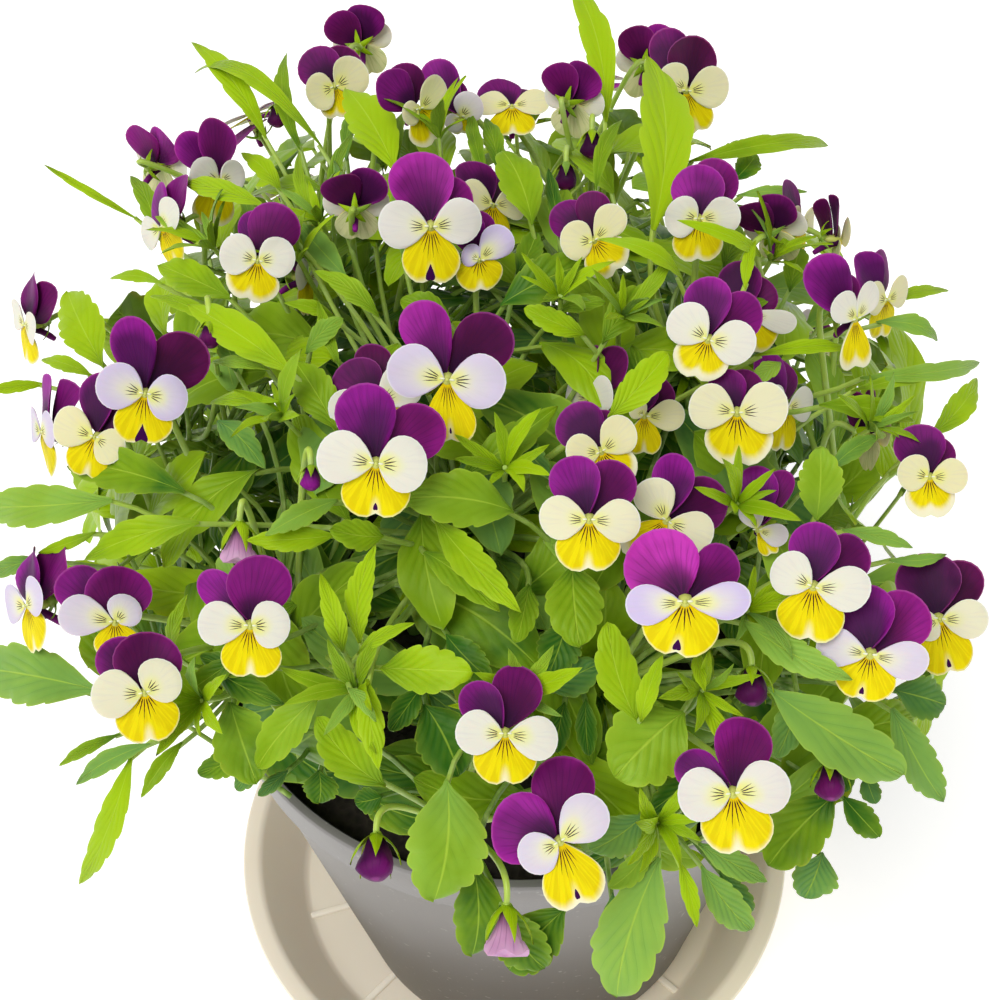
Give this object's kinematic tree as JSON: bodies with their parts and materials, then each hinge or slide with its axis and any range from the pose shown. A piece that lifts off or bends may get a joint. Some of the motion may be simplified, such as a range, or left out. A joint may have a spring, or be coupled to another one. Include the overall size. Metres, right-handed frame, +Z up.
{
  "type": "potted horned violet",
  "caption": "Potted horned violet: a dome of purple, white and yellow blooms on leafy stems, in a tapered plastic pot that stands in a ribbed saucer.",
  "frame": {"origin": "under the middle of the saucer, on the surface that it stands on", "axes": "+Z up, +X to the right and +Y away from the viewer of the picture"},
  "size_m": [0.2715, 0.3016, 0.3204],
  "materials": {
    "pot_plastic": "satin grey, slightly violet",
    "saucer_plastic": "cream, slightly translucent",
    "soil": "rough, dark, crumbly",
    "leaf": "bright green, satin, with paler veins",
    "petal": "velvety purple upper petals, white side petals, yellow lower petal"
  },
  "bodies": {
    "root": {"bloom_02": "petal", "bloom_03": "petal", "bloom_04": "petal", "bloom_06": "petal", "bloom_07": "petal", "bloom_08": "petal", "bloom_09": "petal", "bloom_11": "petal", "bloom_12": "petal", "bloom_13": "petal", "bloom_15": "petal", "bloom_16": "petal", "bloom_17": "petal", "bloom_18": "petal", "bloom_20": "petal", "bloom_22": "petal", "bloom_24a": "petal", "bloom_24b": "petal", "bloom_25": "petal", "bloom_26": "petal", "bloom_27": "petal", "bloom_31": "petal", "bloom_33": "petal", "bloom_35": "petal", "bloom_38": "petal", "bloom_39": "petal", "bloom_40": "petal", "bloom_41": "petal", "bloom_43": "petal", "bloom_44": "petal", "bloom_45": "petal", "bloom_46": "petal", "bloom_47": "petal", "bloom_49": "petal", "bloom_50": "petal", "bloom_51": "petal", "bloom_57": "petal", "bloom_58": "petal", "bloom_59": "petal", "bloom_60": "petal", "bloom_far_0a": "petal", "bloom_far_1a": "petal", "bloom_far_1b": "petal", "bloom_far_2a": "petal", "bloom_far_3a": "petal", "bloom_far_3b": "petal", "bloom_far_4a": "petal", "leafy_stem_0": "leaf", "leafy_stem_1": "leaf", "leafy_stem_2": "leaf", "leafy_stem_3": "leaf", "leafy_stem_4": "leaf", "leafy_stem_5": "leaf", "leafy_stem_6": "leaf", "leafy_stem_7": "leaf", "pot": "pot_plastic", "saucer": "saucer_plastic", "soil": "soil"}
  },
  "joints": []
}
